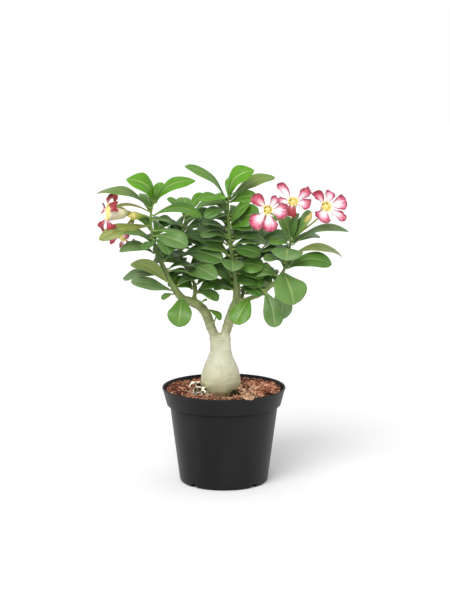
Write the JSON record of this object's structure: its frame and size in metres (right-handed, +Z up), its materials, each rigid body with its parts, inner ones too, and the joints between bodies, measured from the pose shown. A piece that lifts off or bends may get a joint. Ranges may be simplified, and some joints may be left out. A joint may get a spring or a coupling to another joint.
{
  "type": "potted desert rose plant",
  "caption": "Desert rose (Adenium obesum) with a swollen caudex, fleshy leaves and pink-edged trumpet flowers, growing in a round black nursery pot.",
  "frame": {"origin": "centre of the pot's flat base, on the surface it stands on", "axes": "+Z up along the pot's axis; -Y is the front, from which the two limbs of the caudex are side by side; +X to the right seen from the front"},
  "size_m": [0.3314, 0.1884, 0.439],
  "materials": {
    "pot_plastic": "satin black moulded plastic",
    "bark_mix": "loose chipped bark and coir, matt",
    "caudex_skin": "smooth pale living bark, satin",
    "stem_bark": "grey-green young bark with leaf scars",
    "leaf": "fleshy leaf, waxy satin above and paler below",
    "petal": "soft petal, crimson edge, white middle and yellow throat",
    "flower_stalk": "green flower stalk and calyx"
  },
  "bodies": {
    "root": {"pot": "pot_plastic", "soil": "bark_mix", "bark_flake": "bark_mix", "caudex": "caudex_skin", "left_limb": "stem_bark", "right_limb": "stem_bark", "left_shoot": "stem_bark", "middle_left_shoot": "stem_bark", "centre_shoot": "stem_bark", "right_shoot": "stem_bark", "rear_right_shoot": "stem_bark", "left_leaf_1": "leaf", "left_leaf_2": "leaf", "left_leaf_3": "leaf", "left_leaf_4": "leaf", "left_leaf_5": "leaf", "left_leaf_6": "leaf", "left_leaf_7": "leaf", "left_leaf_8": "leaf", "left_leaf_9": "leaf", "left_leaf_10": "leaf", "left_leaf_11": "leaf", "left_leaf_12": "leaf", "left_leaf_13": "leaf", "middle_left_leaf_1": "leaf", "middle_left_leaf_2": "leaf", "middle_left_leaf_3": "leaf", "middle_left_leaf_4": "leaf", "middle_left_leaf_5": "leaf", "centre_leaf_1": "leaf", "centre_leaf_2": "leaf", "centre_leaf_3": "leaf", "centre_leaf_4": "leaf", "centre_leaf_5": "leaf", "centre_leaf_6": "leaf", "centre_leaf_7": "leaf", "centre_leaf_8": "leaf", "centre_leaf_9": "leaf", "right_leaf_1": "leaf", "right_leaf_2": "leaf", "right_leaf_3": "leaf", "right_leaf_4": "leaf", "right_leaf_5": "leaf", "right_leaf_6": "leaf", "right_leaf_7": "leaf", "right_leaf_8": "leaf", "right_leaf_9": "leaf", "rear_right_leaf_1": "leaf", "flower_a_corolla": "petal", "flower_b_corolla": "petal", "flower_c_corolla": "petal", "flower_d_corolla": "petal", "flower_e_corolla": "petal", "flower_a_stalk": "flower_stalk", "flower_b_stalk": "flower_stalk", "flower_c_stalk": "flower_stalk", "flower_d_stalk": "flower_stalk", "flower_e_stalk": "flower_stalk", "right_bud": "flower_stalk", "left_bud": "flower_stalk"}
  },
  "joints": []
}
